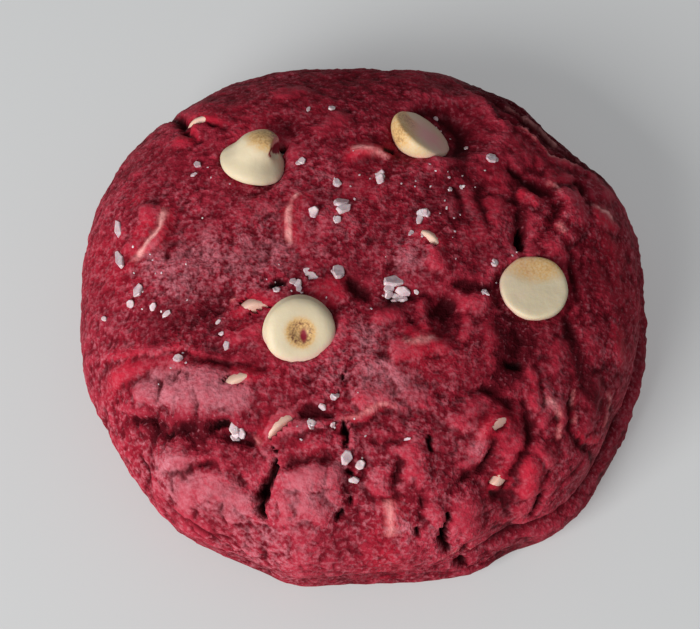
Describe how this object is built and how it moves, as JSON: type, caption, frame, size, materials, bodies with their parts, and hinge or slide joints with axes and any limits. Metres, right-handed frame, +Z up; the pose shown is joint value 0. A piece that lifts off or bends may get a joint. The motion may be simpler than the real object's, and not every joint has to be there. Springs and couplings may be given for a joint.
{
  "type": "red velvet cookie",
  "caption": "Thick round red velvet cookie, domed over a low foot, cracked on top, with white chocolate chips and flaky salt.",
  "frame": {"origin": "middle of the box round the cookie, at the flat underside it rests on", "axes": "+Z up through the dome, -Y towards the pictured front, +X to the right of the picture"},
  "size_m": [0.0899, 0.087, 0.0311],
  "materials": {
    "dough": "matte",
    "chip": "satin",
    "salt": "satin"
  },
  "bodies": {
    "root": {"dough": "dough", "chip_back_left": "chip", "chip_back": "chip", "chip_front_left": "chip", "chip_right": "chip", "chip_edge_back_left": "chip", "chip_left_rim": "chip", "chip_middle_rim": "chip", "chip_beside_front_left": "chip", "chip_left_shelf": "chip", "chip_front_shelf": "chip", "chip_middle_tip": "chip", "chip_right_lump": "chip", "chip_front_right": "chip", "chip_front": "chip", "chip_front_streak": "chip", "chip_back_streak": "chip", "chip_edge_right": "chip"}
  },
  "joints": []
}
